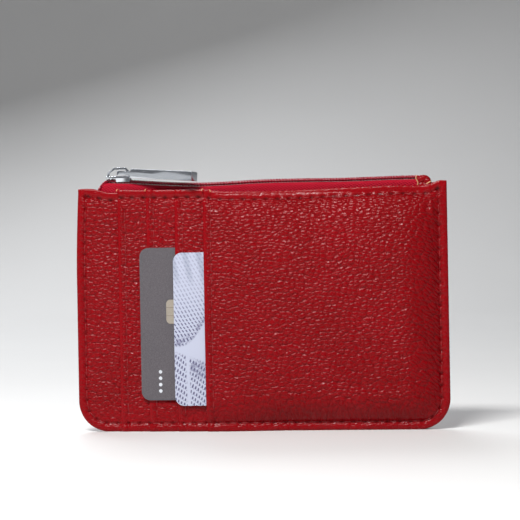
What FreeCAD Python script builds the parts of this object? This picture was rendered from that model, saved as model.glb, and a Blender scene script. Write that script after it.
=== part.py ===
"""A zip-top card wallet: leather panels over a zip compartment, four card slots, two cards.

Frame, in millimetres: X runs along the wallet from left to right as seen from the front,
Y from front to back and Z up. The origin is the middle of the bottom edge it stands on.
"""

import FreeCAD
import Part
import Sketcher
import math
import os

# Driving sizes, kept in the document's sheet. Depths (along Y) run from front (-) to back (+).
SIZES = {
    "half_width": 66.0,
    "leather_height": 86.8,
    "base_corner": 11.0,
    "top_corner": 1.5,
    "front_leather": 1.0,
    "strip_leather": 0.7,
    "back_leather": 1.2,
    "cloth": 0.2,
    "base_back": 0.2,
    "layer_gap": 0.05,
    "card_gap": 0.12,
    # flat sewn rim and the dished middle that the cards and the compartment lift
    "side_rim": 4.0,
    "rim_low": 4.0,
    "rim_high": 81.8,
    "dish_low": 8.8,
    "dish_high": 69.0,
    "front_dish_right": 55.5,
    "back_dish_side": 58.0,
    "back_dish_low": 14.0,
    "compartment_depth": 4.4,
    # card slots
    "first_fold": -50.7,
    "fold_pitch": 10.43,
    "strip_tuck": 5.0,
    "slope_end": -4.0,
    "lining_right": 54.6,
    "lining_low": 11.0,
    "lining_high": 66.5,
    # pocket linings
    "lining_inset": 3.0,
    "lining_corner": 8.0,
    "lining_top": 78.2,
    # cards
    "card_long": 85.6,
    "card_short": 53.98,
    "card_thick": 0.76,
    "card_corner": 3.18,
    "first_card_left": -42.75,
    "first_card_base": 11.2,
    "second_card_left": -30.5,
    "second_card_base": 9.3,
    "chip_inset": 9.3,
    "chip_long": 12.2,
    "chip_high": 8.6,
    "chip_rise": 27.0,
    "chip_thick": 0.06,
    "dot_radius": 0.62,
    "dot_pitch": 2.25,
    "dot_inset": 6.85,
    "dot_rise": 3.3,
    "dot_height": 0.07,
    # zip
    "zip_left": -55.6,
    "zip_right": 55.3,
    "tape_foot": 80.0,
    "tape_shoulder": 87.7,
    "tape_crown": 88.75,
    "tape_thick": 0.4,
    "tape_bend": 0.8,
    "coil_gap": 0.6,
    "coil_wide": 0.8,
    "coil_high": 0.6,
    "zip_fall": 0.1,
    "tab_wide": 5.3,
    "tab_gap": 0.15,
    "tab_foot": 81.8,
    "tab_top": 88.95,
    "tab_leg": 0.6,
    "tab_depth": 3.9,
    "tab_corner": 2.6,
    # slider
    "slider_left": -55.1,
    "slider_long": 8.7,
    "slider_half": 2.3,
    "plate_base": 90.35,
    "plate_thick": 0.7,
    "flange_inner": 1.25,
    "flange_thick": 0.7,
    "flange_base": 89.0,
    "flange_long": 5.0,
    "keel_base": 87.45,
    "keel_thick": 0.7,
    "keel_half": 1.2,
    "post_half": 0.18,
    "post_long": 2.0,
    "arch_top": 94.2,
    "arch_slope": 2.3,
    "arch_shoulder": 1.7,
    "arch_band": 0.75,
    "arch_half": 0.55,
    # puller
    "pivot_inset": 5.0,
    "pivot_height": 92.2,
    "puller_yaw": 15.0,
    "puller_dip": 4.3,
    "ring_back": 0.75,
    "ring_bore_end": 4.3,
    "ring_half": 2.5,
    "ring_bore_half": 1.75,
    "ring_half_thick": 0.75,
    "bar_start": 5.0,
    "bar_long": 23.9,
    "bar_half": 2.5,
    "bar_below": 1.6,
    "bar_above": 1.7,
    "bar_bevel": 0.35,
    # stitches
    "stitch_pitch": 4.0,
    "stitch_long": 2.8,
    "stitch_thick": 0.5,
    "stitch_proud": 0.25,
    "slot_stitch_proud": 0.08,
    "seam_inset": 3.0,
}

doc = FreeCAD.newDocument("wallet")
sheet = doc.addObject("Spreadsheet::Sheet", "Sizes")
for row, (alias, number) in enumerate(SIZES.items(), start=1):
    sheet.set(f"A{row}", alias)
    sheet.set(f"B{row}", str(number))
    sheet.setAlias(f"B{row}", alias)
doc.recompute()

parts = []


def size(alias):
    """A driving size, read from the sheet."""
    return float(sheet.get(alias))


def amount(sum_text):
    """The value of a sum of aliases and numbers, such as 'half_width - side_rim'."""
    total = 0.0
    sign = 1.0
    for word in sum_text.split():
        if word == "+":
            sign = 1.0
        elif word == "-":
            sign = -1.0
        else:
            total += sign * (size(word) if word in SIZES else float(word))
    return total


def bound(sum_text):
    """The same sum as an expression on the sheet's cells."""
    return " ".join(f"Sizes.{word}" if word in SIZES else word for word in sum_text.split())


# Depths of the layers, as sums: each layer's back face, then its front face.
BASE_FRONT = "base_back - front_leather"
FIRST_BACK = BASE_FRONT + " - layer_gap"
FIRST_FRONT = FIRST_BACK + " - strip_leather"
SECOND_BACK = FIRST_FRONT + " - layer_gap"
SECOND_FRONT = SECOND_BACK + " - strip_leather"
CARD_ONE_BACK = SECOND_FRONT + " - card_gap"
THIRD_BACK = CARD_ONE_BACK + " - card_thick - card_gap"
THIRD_FRONT = THIRD_BACK + " - strip_leather"
THIRD_RIM_BACK = SECOND_FRONT + " - layer_gap"
THIRD_RIM_FRONT = THIRD_RIM_BACK + " - strip_leather"
CARD_TWO_BACK = THIRD_FRONT + " - card_gap"
FOURTH_LINING_BACK = CARD_TWO_BACK + " - card_thick - card_gap"
FRONT_BACK = FOURTH_LINING_BACK + " - cloth - layer_gap"
FRONT_FOLD_RIM_BACK = THIRD_RIM_FRONT + " - layer_gap"
FRONT_RIM_BACK = BASE_FRONT + " - layer_gap"
POCKET_FRONT = "base_back + layer_gap + cloth"
MOUTH_FRONT = "base_back + layer_gap"
BACK_LINING_RIM = POCKET_FRONT + " + layer_gap"
BACK_LINING_DISH = POCKET_FRONT + " + compartment_depth"
BACK_RIM = BACK_LINING_RIM + " + cloth + layer_gap"
BACK_DISH = BACK_LINING_DISH + " + cloth + layer_gap"

FOLDS = ["first_fold" + " + fold_pitch" * k for k in range(4)]
MOUTH_CENTRE = (amount(MOUTH_FRONT) + amount(BACK_DISH)) / 2


def add_part(item):
    """List an object as one of the wallet's pieces."""
    parts.append(item)
    return item


def new_body(label):
    body = doc.addObject("PartDesign::Body", label)
    body.Label = label
    return add_part(body)


def origin_plane(body, role):
    return next(f for f in body.Origin.OriginFeatures if f.Role == role)


def outline(body, name, role, points, offset="0"):
    """A closed sketch of straight runs on one of the body's own planes.

    Each point is a pair of sums; offset moves the sketch along its plane's normal.
    """
    sketch = body.newObject("Sketcher::SketchObject", name)
    sketch.AttachmentSupport = [(origin_plane(body, role), "")]
    sketch.MapMode = "FlatFace"
    sketch.setExpression("AttachmentOffset.Base.z", bound(offset))
    corners = [FreeCAD.Vector(amount(u), amount(v), 0) for u, v in points]
    count = len(corners)
    for k in range(count):
        sketch.addGeometry(Part.LineSegment(corners[k], corners[(k + 1) % count]), False)
    for k in range(count):
        sketch.addConstraint(Sketcher.Constraint("Coincident", k, 2, (k + 1) % count, 1))
    for k, point in enumerate(points):
        for kind, place, value in zip(("DistanceX", "DistanceY"), point, corners[k][:2]):
            index = sketch.addConstraint(Sketcher.Constraint(kind, k, 1, value))
            label = f"{kind.lower()}_{k}"
            sketch.renameConstraint(index, label)
            sketch.setExpression(f"Constraints.{label}", bound(place))
    return sketch


def pad(body, name, role, points, length, offset="0", middle=False, back=False):
    """An outline padded by a length; middle pads half to each side, back turns it round."""
    sketch = outline(body, name + "_outline", role, points, offset)
    feature = body.newObject("PartDesign::Pad", name)
    feature.Profile = sketch
    feature.setExpression("Length", bound(length))
    feature.Midplane = middle
    feature.Reversed = back
    body.Tip = feature
    doc.recompute()
    return feature


def pocket(body, name, role, points, length, offset="0"):
    """An outline cut to both sides of its plane; the volume has to fall."""
    before = body.Tip.Shape.Volume
    sketch = outline(body, name + "_outline", role, points, offset)
    feature = body.newObject("PartDesign::Pocket", name)
    feature.Profile = sketch
    feature.setExpression("Length", bound(length))
    feature.Midplane = True
    body.Tip = feature
    doc.recompute()
    if feature.Shape.Volume >= before:
        raise RuntimeError(f"{name} cuts nothing")
    return feature


def dress(body, kind, name, edges, amount_text):
    """A fillet or chamfer on the tip's edges that edges(edge) picks."""
    base = body.Tip
    picked = [f"Edge{k + 1}" for k, e in enumerate(base.Shape.Edges) if edges(e)]
    if not picked:
        raise RuntimeError(f"{name} finds no edge")
    feature = body.newObject(f"PartDesign::{kind}", name)
    feature.Base = (base, picked)
    feature.setExpression("Radius" if kind == "Fillet" else "Size", bound(amount_text))
    body.Tip = feature
    doc.recompute()
    return feature


def along(edge, axis):
    """Whether a straight edge runs along an axis (0, 1 or 2)."""
    if len(edge.Vertexes) != 2:
        return False
    run = edge.Vertexes[1].Point - edge.Vertexes[0].Point
    return abs(abs(run[axis]) - run.Length) < 1e-6


def at_corner(x_value=None, z_value=None):
    """Picks edges along Y at one X, one Z, or both."""

    def picks(edge):
        middle = edge.CenterOfMass
        near_x = x_value is None or abs(middle.x - x_value) < 1e-4
        near_z = z_value is None or abs(middle.z - z_value) < 1e-4
        return along(edge, 1) and near_x and near_z

    return picks


def rectangle(left, right, low, high):
    return [(left, low), (right, low), (right, high), (left, high)]


def plate(label, left, right, low, high, back, thick):
    """A flat sheet facing the front: its back face lies at depth back."""
    body = new_body(label)
    # the XZ plane's normal points to the front, so the offset is the depth turned round
    turned = "0 - " + back.replace("+", "~").replace(" - ", " + ").replace("~", "-")
    pad(body, label + "_sheet", "XZ_Plane", rectangle(left, right, low, high), thick, turned)
    return body


# --- leather and cloth that lies flat -----------------------------------------------------

base = plate(
    "front_base_panel", "0 - half_width", "half_width", "0", "leather_height", "base_back", "front_leather"
)
dress(base, "Fillet", "base_bottom_corners", at_corner(z_value=0.0), "base_corner")
dress(base, "Fillet", "base_top_corners", at_corner(z_value=size("leather_height")), "top_corner")

for number, back in ((1, FIRST_BACK), (2, SECOND_BACK)):
    fold = FOLDS[number - 1]
    tuck = FOLDS[number] + " + strip_tuck"
    plate(f"slot_panel_{number}", fold, tuck, "0", "leather_height", back, "strip_leather")

third = new_body("slot_panel_3")
third_points = [
    (THIRD_RIM_BACK, "0"),
    (THIRD_RIM_BACK, "rim_low"),
    (THIRD_BACK, "dish_low"),
    (THIRD_BACK, "dish_high"),
    (THIRD_RIM_BACK, "rim_high"),
    (THIRD_RIM_BACK, "leather_height"),
]
third_front = [(depth + " - strip_leather", rise) for depth, rise in reversed(third_points)]
pad(
    third, "slot_panel_3_sheet", "YZ_Plane", third_points + third_front,
    "fold_pitch + strip_tuck", FOLDS[2],
)

# each slot's cloth starts where its leather ends; the last one backs the front panel
cloth_starts = [FOLDS[k + 1] + " + strip_tuck + layer_gap" for k in range(3)] + [FOLDS[3] + " + 1.0"]
cloth_backs = [FIRST_BACK + " - cloth", SECOND_BACK + " - cloth", THIRD_BACK + " - cloth", FOURTH_LINING_BACK]
for number, (start, back) in enumerate(zip(cloth_starts, cloth_backs), start=1):
    plate(f"slot_lining_{number}", start, "lining_right", "lining_low", "lining_high", back, "cloth")

lining_left = "lining_inset - half_width"
lining_right = "half_width - lining_inset"
front_lining = plate(
    "pocket_lining_front", lining_left, lining_right, "lining_inset", "lining_top", POCKET_FRONT, "cloth"
)
dress(front_lining, "Fillet", "lining_corners", at_corner(z_value=size("lining_inset")), "lining_corner")


# --- leather and cloth dished over the cards and the compartment --------------------------

def dished_sheet(label, stations, rises, thick, inset, corner, open_top):
    """A sheet whose middle stands off its sewn rim.

    stations gives (x, rim depth, dish depth) from left to right; rises gives the heights of
    the lower rim, the dish and the upper rim; thick is added towards +Y (a minus sign turns
    it towards the front). The outline is the wallet's, drawn in by inset.
    """
    low, rim_low, dish_low, dish_high, rim_high, high = rises
    sections = []
    for x, rim, dish in stations:
        near = [(rim, low), (rim, rim_low), (dish, dish_low)]
        near += [(dish, high)] if open_top else [(dish, dish_high), (rim, rim_high), (rim, high)]
        far = [(depth + thick, rise) for depth, rise in reversed(near)]
        corners = [FreeCAD.Vector(x, depth, rise) for depth, rise in near + far]
        sections.append(Part.makePolygon(corners + corners[:1]))
    blank = Part.makeLoft(sections, True, True)
    half = size("half_width") - inset
    block = Part.makeBox(2 * half, 40.0, high - low, FreeCAD.Vector(-half, -20.0, low))
    lower = [e for e in block.Edges if along(e, 1) and abs(e.CenterOfMass.z - low) < 1e-6]
    rounded = block.makeFillet(corner, lower)
    shape = blank.common(rounded)
    if len(shape.Solids) != 1:
        raise RuntimeError(f"{label} came out in {len(shape.Solids)} solids")
    feature = doc.addObject("Part::Feature", label)
    feature.Shape = shape.Solids[0]
    feature.Placement = FreeCAD.Placement()
    return add_part(feature)


half = size("half_width")
height = size("leather_height")
fold_rim = amount(FRONT_FOLD_RIM_BACK)
right_rim = amount(FRONT_RIM_BACK)
front_dish = amount(FRONT_BACK)
fold_four = amount(FOLDS[3])
dished_sheet(
    "front_panel",
    [
        (fold_four, fold_rim, front_dish),
        (fold_four + size("strip_tuck") + 0.3, fold_rim, front_dish),
        (size("slope_end"), right_rim, front_dish),
        (size("front_dish_right"), right_rim, front_dish),
        (half - size("side_rim"), right_rim, right_rim),
        (half, right_rim, right_rim),
    ],
    (0.0, size("rim_low"), size("dish_low"), size("dish_high"), size("rim_high"), height),
    -size("front_leather"),
    0.0,
    size("base_corner"),
    open_top=False,
)


def back_stations(rim, dish, outer):
    """Stations of the sheets behind the compartment, dished between both sides."""
    side = half - size("side_rim")
    flat = size("back_dish_side")
    return [
        (-outer, rim, rim),
        (-side, rim, rim),
        (-flat, rim, dish),
        (flat, rim, dish),
        (side, rim, rim),
        (outer, rim, rim),
    ]


back_rises = (0.0, size("rim_low"), size("back_dish_low"), None, None, height)
dished_sheet(
    "back_panel",
    back_stations(amount(BACK_RIM), amount(BACK_DISH), half),
    back_rises,
    size("back_leather"),
    0.0,
    size("base_corner"),
    open_top=True,
)
inset = size("lining_inset")
lining_rises = (inset, size("rim_low"), size("back_dish_low"), None, None, size("lining_top"))
dished_sheet(
    "pocket_lining_back",
    back_stations(amount(BACK_LINING_RIM), amount(BACK_LINING_DISH), half - inset),
    lining_rises,
    size("cloth"),
    inset,
    size("lining_corner"),
    open_top=True,
)


# --- cards --------------------------------------------------------------------------------

def card(label, left, base, back):
    body = plate(label, left, left + " + card_long", base, base + " + card_short", back, "card_thick")
    dress(body, "Fillet", label + "_corners", at_corner(), "card_corner")
    return body


card("chip_card", "first_card_left", "first_card_base", CARD_ONE_BACK)
card("patterned_card", "second_card_left", "second_card_base", CARD_TWO_BACK)

CARD_ONE_FRONT = CARD_ONE_BACK + " - card_thick"
chip_left = "first_card_left + chip_inset"
chip_low = "first_card_base + chip_rise"
chip = plate(
    "card_chip", chip_left, chip_left + " + chip_long", chip_low, chip_low + " + chip_high",
    CARD_ONE_FRONT, "chip_thick",
)
dress(chip, "Fillet", "chip_corners", at_corner(), "1.6")

dots = []
for k in range(4):
    dot = doc.addObject("Part::Cylinder", f"dot_{k + 1}")
    dot.setExpression("Radius", "Sizes.dot_radius")
    dot.setExpression("Height", "Sizes.dot_height")
    dot.Placement = FreeCAD.Placement(
        FreeCAD.Vector(
            size("first_card_left") + size("dot_inset"),
            amount(CARD_ONE_FRONT),
            size("first_card_base") + size("dot_rise") + k * size("dot_pitch"),
        ),
        FreeCAD.Rotation(FreeCAD.Vector(1, 0, 0), 90),
    )
    dots.append(dot)
dot_group = doc.addObject("Part::Compound", "card_tactile_dots")
dot_group.Links = dots
add_part(dot_group)


# --- zip ----------------------------------------------------------------------------------

def fall(point=FreeCAD.Vector(0, 0, 0)):
    """The placement of a piece drawn level at point, on the zip's line, which falls to the right."""
    anchor = FreeCAD.Vector(size("slider_left"), MOUTH_CENTRE, size("tape_crown"))
    turn = FreeCAD.Rotation(FreeCAD.Vector(0, 1, 0), size("zip_fall"))
    placement = FreeCAD.Placement(FreeCAD.Vector(0, 0, 0), turn, anchor)
    return placement.multiply(FreeCAD.Placement(point, FreeCAD.Rotation()))


centre = f"{MOUTH_CENTRE}"


def zip_tape(label, side):
    """A tape that rises from the seam, turns over and lies flat under its coil.

    side is -1 for the front tape and 1 for the back one.
    """
    depths = [
        (" + tape_reach", "tape_foot"),
        (" + tape_reach", "tape_shoulder + tape_thick"),
        (" + tape_reach - tape_bend", "tape_crown"),
        (" + half_gap", "tape_crown"),
        (" + half_gap", "tape_crown - tape_thick"),
        (" + tape_reach - tape_thick - tape_bend", "tape_crown - tape_thick"),
        (" + tape_reach - tape_thick", "tape_shoulder"),
        (" + tape_reach - tape_thick", "tape_foot"),
    ]
    reach = MOUTH_CENTRE - amount(MOUTH_FRONT)
    half_gap = size("coil_gap") / 2
    points = []
    for depth, rise in depths:
        text = depth.replace("tape_reach", f"{reach}").replace("half_gap", f"{half_gap}")
        if side < 0:
            text = text.replace(" + ", " ~ ").replace(" - ", " + ").replace(" ~ ", " - ")
        points.append((centre + text, rise))
    body = new_body(label)
    pad(body, label + "_weave", "YZ_Plane", points, "zip_right - zip_left", "zip_left")
    body.Placement = fall()


def zip_coil(label, near_edge):
    coil = doc.addObject("Part::Box", label)
    coil.setExpression("Length", "Sizes.zip_right - Sizes.zip_left")
    coil.setExpression("Width", "Sizes.coil_wide")
    coil.setExpression("Height", "Sizes.coil_high")
    coil.Placement = fall(
        FreeCAD.Vector(size("zip_left"), MOUTH_CENTRE + near_edge, amount("tape_crown + layer_gap"))
    )
    add_part(coil)


zip_tape("zip_tape_front", -1)
zip_tape("zip_tape_back", 1)
zip_coil("zip_coil_front", -size("coil_gap") / 2 - size("coil_wide"))
zip_coil("zip_coil_back", size("coil_gap") / 2)

tab = new_body("zip_end_tab")
tab_front = "base_back + layer_gap + 0.4"
tab_back = tab_front + " + tab_depth"
tab_points = [
    (tab_front, "tab_foot"),
    (tab_front + " + tab_leg", "tab_foot"),
    (tab_front + " + tab_leg", "leather_height + 0.3"),
    (tab_back, "leather_height + 0.3"),
    (tab_back, "tab_top"),
    (tab_front, "tab_top"),
]
pad(tab, "tab_fold", "YZ_Plane", tab_points, "tab_wide", "zip_right + tab_gap")
tab_end = amount("zip_right + tab_gap + tab_wide")
dress(tab, "Fillet", "tab_round", at_corner(tab_end, size("tab_top")), "tab_corner")


# --- slider and puller --------------------------------------------------------------------

slider = new_body("zip_slider")
slider_right = "slider_left + slider_long"
plate_top = "plate_base + plate_thick"


def slider_block(name, left, right, near, far, base_rise, thick):
    """A block of the slider, given by its reach along the zip, its depths and its height."""
    points = rectangle(left, right, near, far)
    return pad(slider, name, "XY_Plane", points, thick, base_rise)


slider_block(
    "top_plate", "slider_left", slider_right, centre + " - slider_half", centre + " + slider_half",
    "plate_base", "plate_thick",
)
flange_left = slider_right + " - flange_long"
for name, near, far in (
    ("front_flange", " - flange_inner - flange_thick", " - flange_inner"),
    ("back_flange", " + flange_inner", " + flange_inner + flange_thick"),
):
    slider_block(
        name, flange_left, slider_right, centre + near, centre + far,
        "flange_base", "plate_base - flange_base + 0.1",
    )
slider_block(
    "post", "slider_left + 0.4", "slider_left + 0.4 + post_long", centre + " - post_half",
    centre + " + post_half", "keel_base", "plate_base - keel_base + 0.1",
)
slider_block(
    "keel", "slider_left", slider_right, centre + " - keel_half", centre + " + keel_half",
    "keel_base", "keel_thick",
)
arch_left = "slider_left"
arch_right = slider_right
arch_points = [
    (arch_left, plate_top + " - 0.2"),
    (arch_left + " + 0.4", plate_top + " + 1.4"),
    (arch_left + " + 0.4 + arch_slope", "arch_top"),
    (arch_right + " - arch_shoulder", "arch_top"),
    (arch_right, "arch_top - arch_shoulder"),
    (arch_right, plate_top + " - 0.2"),
    (arch_right + " - arch_band", plate_top + " - 0.2"),
    (arch_right + " - arch_band", "arch_top - arch_shoulder - 0.3"),
    (arch_right + " - arch_shoulder - 0.3", "arch_top - arch_band"),
    (arch_left + " + 0.4 + arch_slope + 0.3", "arch_top - arch_band"),
    (arch_left + " + 0.4 + arch_band + 0.1", plate_top + " + 1.2"),
    (arch_left + " + arch_band + 0.1", plate_top + " - 0.2"),
]
pad(slider, "arch", "XZ_Plane", arch_points, "arch_half + arch_half", "0 - " + centre, middle=True)
slider.Placement = fall()

puller = new_body("zip_puller")
ring_outer = rectangle("0 - ring_back", "bar_start + 0.3", "0 - ring_half", "ring_half")
ring_bore = rectangle("ring_back", "ring_bore_end", "0 - ring_bore_half", "ring_bore_half")
pad(puller, "ring", "XY_Plane", ring_outer, "ring_half_thick + ring_half_thick", middle=True)
pocket(puller, "ring_bore", "XY_Plane", ring_bore, "10")
dress(
    puller, "Fillet", "ring_round",
    lambda e: along(e, 2) and abs(e.CenterOfMass.x + size("ring_back")) < 1e-6, "1.4",
)
bar_end = "bar_start + bar_long"
bar_points = rectangle("bar_start", bar_end, "0 - bar_below", "bar_above")
pad(puller, "bar", "XZ_Plane", bar_points, "bar_half + bar_half", middle=True)


def bar_top_edge(edge):
    """The four edges round the bar's top face."""
    middle = edge.CenterOfMass
    return abs(middle.z - size("bar_above")) < 1e-6


dress(puller, "Chamfer", "bar_bevels", bar_top_edge, "bar_bevel")
yaw = FreeCAD.Rotation(FreeCAD.Vector(0, 0, 1), -size("puller_yaw"))
dip = FreeCAD.Rotation(FreeCAD.Vector(0, 1, 0), size("puller_dip"))
pivot = FreeCAD.Vector(amount("slider_left + pivot_inset"), MOUTH_CENTRE, size("pivot_height"))
puller.Placement = FreeCAD.Placement(pivot, yaw.multiply(dip))


# --- stitching ----------------------------------------------------------------------------

def front_depth(x, z):
    """Depth of the leather that faces the front, at a point of the rim or of the wide panel."""
    if x < amount(FOLDS[0]):
        return amount(BASE_FRONT)
    if x < amount(FOLDS[1]):
        return amount(FIRST_FRONT)
    if x < amount(FOLDS[2]):
        return amount(SECOND_FRONT)
    if x < fold_four:
        return amount(THIRD_RIM_FRONT)
    flat_end = fold_four + size("strip_tuck") + 0.3
    rim = fold_rim + portion(x, flat_end, size("slope_end")) * (right_rim - fold_rim)
    side = half - size("side_rim")
    dish = front_dish + portion(x, size("front_dish_right"), side) * (right_rim - front_dish)
    risen = portion(z, size("rim_low"), size("dish_low")) * portion(z, size("rim_high"), size("dish_high"))
    return rim + risen * (dish - rim) - size("front_leather")


def portion(value, start, end):
    """How far value lies from start to end, held between 0 and 1."""
    return min(max((value - start) / (end - start), 0.0), 1.0)


def stitch(x, z, upright, depth_front, proud="stitch_proud"):
    """One stitch of the seam: a small block lying on the leather."""
    long_side = size("stitch_long")
    thick = size("stitch_thick")
    across, tall = (thick, long_side) if upright else (long_side, thick)
    corner = FreeCAD.Vector(x - across / 2, depth_front - size(proud), z - tall / 2)
    return Part.makeBox(across, size(proud), tall, corner)


def seam_stitch(x, z):
    """A stitch along X that clears the leather over its whole length."""
    reach = size("stitch_long") / 2
    return stitch(x, z, False, min(front_depth(x - reach, z), front_depth(x + reach, z)))


def spread(start, end):
    """Evenly spaced stitch centres between two ends, about one pitch apart."""
    count = max(1, round((end - start) / size("stitch_pitch")))
    step = (end - start) / count
    return [start + (k + 0.5) * step for k in range(count)]


def stitch_group(label, stitches):
    feature = doc.addObject("Part::Feature", label)
    feature.Shape = Part.makeCompound(stitches)
    feature.Placement = FreeCAD.Placement()
    add_part(feature)


seam = size("seam_inset")
corner = size("base_corner")
edge_free = 1.6  # stitches keep this far from a fold's edge
fold_values = [amount(f) for f in FOLDS]
seam_side = half - seam
bottom = [
    seam_stitch(x, seam)
    for x in spread(-half + corner, half - corner)
    if min(abs(x - f) for f in fold_values) > edge_free
]
left_side = [stitch(-seam_side, z, True, front_depth(-seam_side, z)) for z in spread(corner, height - seam)]
right_side = [stitch(seam_side, z, True, front_depth(seam_side, z)) for z in spread(corner, height - seam)]
corner_turns = []
for side in (-1, 1):
    for turn in (20.0, 45.0, 70.0):
        angle = math.radians(turn)
        reach = corner - seam
        x = side * (half - corner + reach * math.cos(angle))
        z = corner - reach * math.sin(angle)
        flat = stitch(0, 0, True, 0)
        flat.rotate(FreeCAD.Vector(0, 0, 0), FreeCAD.Vector(0, 1, 0), side * turn)
        flat.translate(FreeCAD.Vector(x, 0, z))
        box = flat.BoundBox
        ends = [front_depth(u, v) for u in (box.XMin, box.XMax) for v in (box.ZMin, box.ZMax)]
        flat.translate(FreeCAD.Vector(0, min(ends), 0))
        corner_turns.append(flat)
stitch_group("perimeter_stitching", bottom + left_side + right_side + corner_turns)

top_front = [
    seam_stitch(x, height - seam)
    for x in spread(-half + 5.0, half - 5.0)
    if min(abs(x - f) for f in fold_values) > edge_free
]
stitch_group("mouth_stitching_front", top_front)

back_face = amount(BACK_DISH) + size("back_leather") + size("stitch_proud")
flat_side = size("back_dish_side")
top_back = [stitch(x, height - seam, False, back_face) for x in spread(-flat_side + 1.0, flat_side - 1.0)]
stitch_group("mouth_stitching_back", top_back)

for number, fold in enumerate(fold_values, start=1):
    line = fold + seam
    lifted = {3: amount(THIRD_FRONT), 4: front_dish - size("front_leather")}
    low, high = (seam + 3.0, height - seam - 3.0) if number < 3 else (size("dish_low"), size("dish_high"))
    face = lifted.get(number, front_depth(line, low))
    line_stitches = [stitch(line, z, True, face, "slot_stitch_proud") for z in spread(low, high)]
    stitch_group(f"slot_stitching_{number}", line_stitches)

tab_front_depth = amount(tab_front)
tab_line = amount("zip_right + tab_gap") + 0.8
tab_rises = [size("leather_height") - 1.4 + k * 1.8 for k in range(2)]
tab_seam = [stitch(tab_line, z, True, tab_front_depth) for z in tab_rises]
for block in tab_seam:
    block.scale(0.5, FreeCAD.Vector(tab_line, tab_front_depth, block.CenterOfMass.z))
stitch_group("zip_tab_stitching", tab_seam)

# --- check and write ----------------------------------------------------------------------

doc.recompute()
for item in doc.Objects:
    if "Invalid" in item.State or "Error" in item.State:
        raise RuntimeError(f"{item.Label} failed: {item.State}")
os.makedirs("parts", exist_ok=True)
for item in parts:
    if item.Shape.isNull() or not item.Shape.isValid():
        raise RuntimeError(f"{item.Label} has no valid shape")
    item.Shape.exportStep(f"parts/{item.Label}.step")
print(f"{len(parts)} parts written")
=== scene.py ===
"""Looks of the zip-top card wallet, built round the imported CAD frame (metres, +Z up, front towards -Y)."""

import math

import bmesh
import bpy
import numpy as np
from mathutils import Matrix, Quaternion, Vector


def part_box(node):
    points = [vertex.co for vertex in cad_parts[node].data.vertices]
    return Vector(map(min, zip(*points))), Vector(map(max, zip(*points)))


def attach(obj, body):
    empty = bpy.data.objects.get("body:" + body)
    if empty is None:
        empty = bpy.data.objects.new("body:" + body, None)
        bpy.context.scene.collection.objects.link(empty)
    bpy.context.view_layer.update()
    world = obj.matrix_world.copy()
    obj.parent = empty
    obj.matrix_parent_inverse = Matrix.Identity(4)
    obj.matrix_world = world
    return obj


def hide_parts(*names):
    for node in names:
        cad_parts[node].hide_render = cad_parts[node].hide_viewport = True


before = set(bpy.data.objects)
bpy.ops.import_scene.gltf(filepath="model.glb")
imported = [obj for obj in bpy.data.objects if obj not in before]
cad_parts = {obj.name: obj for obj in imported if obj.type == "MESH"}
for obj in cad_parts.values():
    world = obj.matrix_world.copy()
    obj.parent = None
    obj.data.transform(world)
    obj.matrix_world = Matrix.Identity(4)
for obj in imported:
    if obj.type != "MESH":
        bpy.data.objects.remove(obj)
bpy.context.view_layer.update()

MM = 0.001


def reach(node):
    """Lowest and highest corner of a CAD node at rest, in millimetres."""
    low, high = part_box(node)
    return np.array(low) / MM, np.array(high) / MM


# ------------------------------------------------------------------------------------------
# Sizes taken from the frame, in millimetres
# ------------------------------------------------------------------------------------------
BASE_LOW, BASE_HIGH = reach("front_base_panel")
HALF = BASE_HIGH[0]
HEIGHT = BASE_HIGH[2]
FOLDS = [reach(f"slot_panel_{k}")[0][0] for k in (1, 2, 3)] + [reach("front_panel")[0][0]]
BASE_FACE = BASE_LOW[1]
FIRST_FACE = reach("slot_panel_1")[0][1]
SECOND_FACE = reach("slot_panel_2")[0][1]
THIRD_FACE = reach("slot_panel_3")[0][1]
FRONT_FACE = reach("front_panel")[0][1]
STRIP = reach("slot_panel_1")[1][1] - FIRST_FACE
LEATHER = 1.0            # thickness of the wide front panel
BACK_LEATHER = 1.2
LAYER_GAP = 0.05
THIRD_RIM = SECOND_FACE - STRIP - LAYER_GAP
FRONT_RIM_AT_FOLD = THIRD_RIM - LEATHER - LAYER_GAP
FRONT_RIM = BASE_FACE - LEATHER - LAYER_GAP
BACK_LOW, BACK_HIGH = reach("back_panel")
BACK_FACE = BACK_HIGH[1]
BACK_RIM = BACK_LOW[1] + BACK_LEATHER
CARD_LOW = reach("patterned_card")[0]
CORNER = 11.0            # radius of both bottom corners
SEAM = 2.9               # stitch line from the edge
PITCH = 4.0              # of every seam
FOLD_SEAM = 2.7          # stitch line from a slot's fold
TAPE_LOW, TAPE_HIGH = reach("zip_tape_front")
BACK_TAPE_HIGH = reach("zip_tape_back")[1]
SLIDER_LOW, SLIDER_HIGH = reach("zip_slider")
TAB_LOW, TAB_HIGH = reach("zip_end_tab")
MOUTH_CENTRE = (TAPE_LOW[1] + BACK_TAPE_HIGH[1]) / 2
COIL_PITCH = 1.06
COIL_TALL = 1.4
COIL_TOP = reach("zip_coil_front")[1][2] + 0.8
ZIP_FALL = 0.001745      # the zip's line falls to the right
GRAIN = 0.74             # pebbles of the leather in each millimetre

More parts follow.
